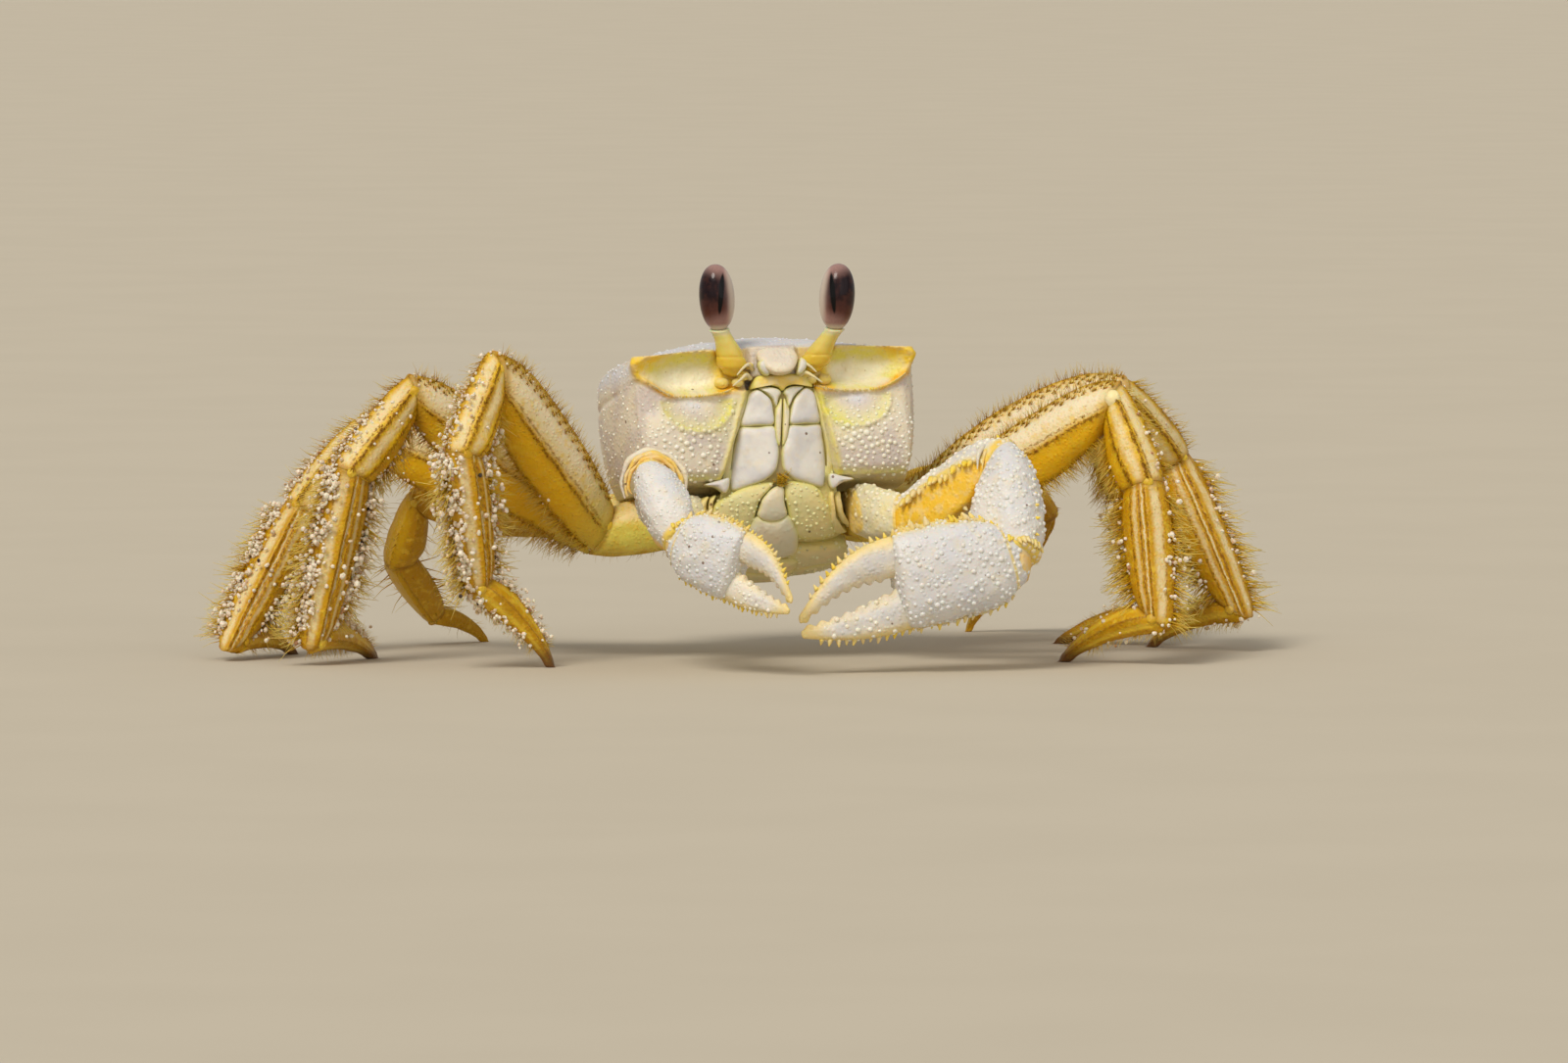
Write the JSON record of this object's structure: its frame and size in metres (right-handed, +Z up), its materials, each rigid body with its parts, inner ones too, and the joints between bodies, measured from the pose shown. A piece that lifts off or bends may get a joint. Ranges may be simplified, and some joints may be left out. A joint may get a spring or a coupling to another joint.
{
  "type": "ghost crab",
  "caption": "Life-size still model of a pale ghost crab crouched on its legs, eyes raised on stalks and unequal claws folded before it.",
  "frame": {"origin": "middle of the animal's bounding box, on the floor under it", "axes": "+Z up; the crab faces -Y, turned 14 degrees towards +X; its own left side is at +X"},
  "size_m": [0.1436, 0.093, 0.0551],
  "materials": {
    "carapace_shell": "finely granulated, greyish cream shell with a soft sheen, yellow-green orbits",
    "underside_shell": "greenish yellow granulated plates with a soft sheen",
    "mouth_shell": "white to lilac plates with yellow-green edges",
    "claw_shell": "white to bluish lilac, with cream and yellow tubercles",
    "leg_shell": "mustard gold with cream faces, brown hair lines and pale fringes",
    "eyestalk_skin": "smooth translucent yellow",
    "cornea": "glossy dark brown with a black upright slit"
  },
  "bodies": {
    "root": {"abdomen": "underside_shell", "carapace": "carapace_shell", "claw_left_base": "claw_shell", "claw_left_carpus": "claw_shell", "claw_left_finger": "claw_shell", "claw_left_merus": "claw_shell", "claw_left_palm": "claw_shell", "claw_right_base": "claw_shell", "claw_right_carpus": "claw_shell", "claw_right_finger": "claw_shell", "claw_right_merus": "claw_shell", "claw_right_palm": "claw_shell", "eye_left": "cornea", "eye_right": "cornea", "eyestalk_left": "eyestalk_skin", "eyestalk_right": "eyestalk_skin", "leg_2_left_base": "leg_shell", "leg_2_left_carpus": "leg_shell", "leg_2_left_dactyl": "leg_shell", "leg_2_left_merus": "leg_shell", "leg_2_left_propodus": "leg_shell", "leg_2_right_base": "leg_shell", "leg_2_right_carpus": "leg_shell", "leg_2_right_dactyl": "leg_shell", "leg_2_right_merus": "leg_shell", "leg_2_right_propodus": "leg_shell", "leg_3_left_base": "leg_shell", "leg_3_left_carpus": "leg_shell", "leg_3_left_dactyl": "leg_shell", "leg_3_left_merus": "leg_shell", "leg_3_left_propodus": "leg_shell", "leg_3_right_base": "leg_shell", "leg_3_right_carpus": "leg_shell", "leg_3_right_dactyl": "leg_shell", "leg_3_right_merus": "leg_shell", "leg_3_right_propodus": "leg_shell", "leg_4_left_base": "leg_shell", "leg_4_left_carpus": "leg_shell", "leg_4_left_dactyl": "leg_shell", "leg_4_left_merus": "leg_shell", "leg_4_left_propodus": "leg_shell", "leg_4_right_base": "leg_shell", "leg_4_right_carpus": "leg_shell", "leg_4_right_dactyl": "leg_shell", "leg_4_right_merus": "leg_shell", "leg_4_right_propodus": "leg_shell", "leg_5_left_base": "leg_shell", "leg_5_left_carpus": "leg_shell", "leg_5_left_dactyl": "leg_shell", "leg_5_left_merus": "leg_shell", "leg_5_left_propodus": "leg_shell", "leg_5_right_base": "leg_shell", "leg_5_right_carpus": "leg_shell", "leg_5_right_dactyl": "leg_shell", "leg_5_right_merus": "leg_shell", "leg_5_right_propodus": "leg_shell", "maxilliped_left": "mouth_shell", "maxilliped_right": "mouth_shell", "mouth_frame": "underside_shell", "thorax": "underside_shell"}
  },
  "joints": []
}
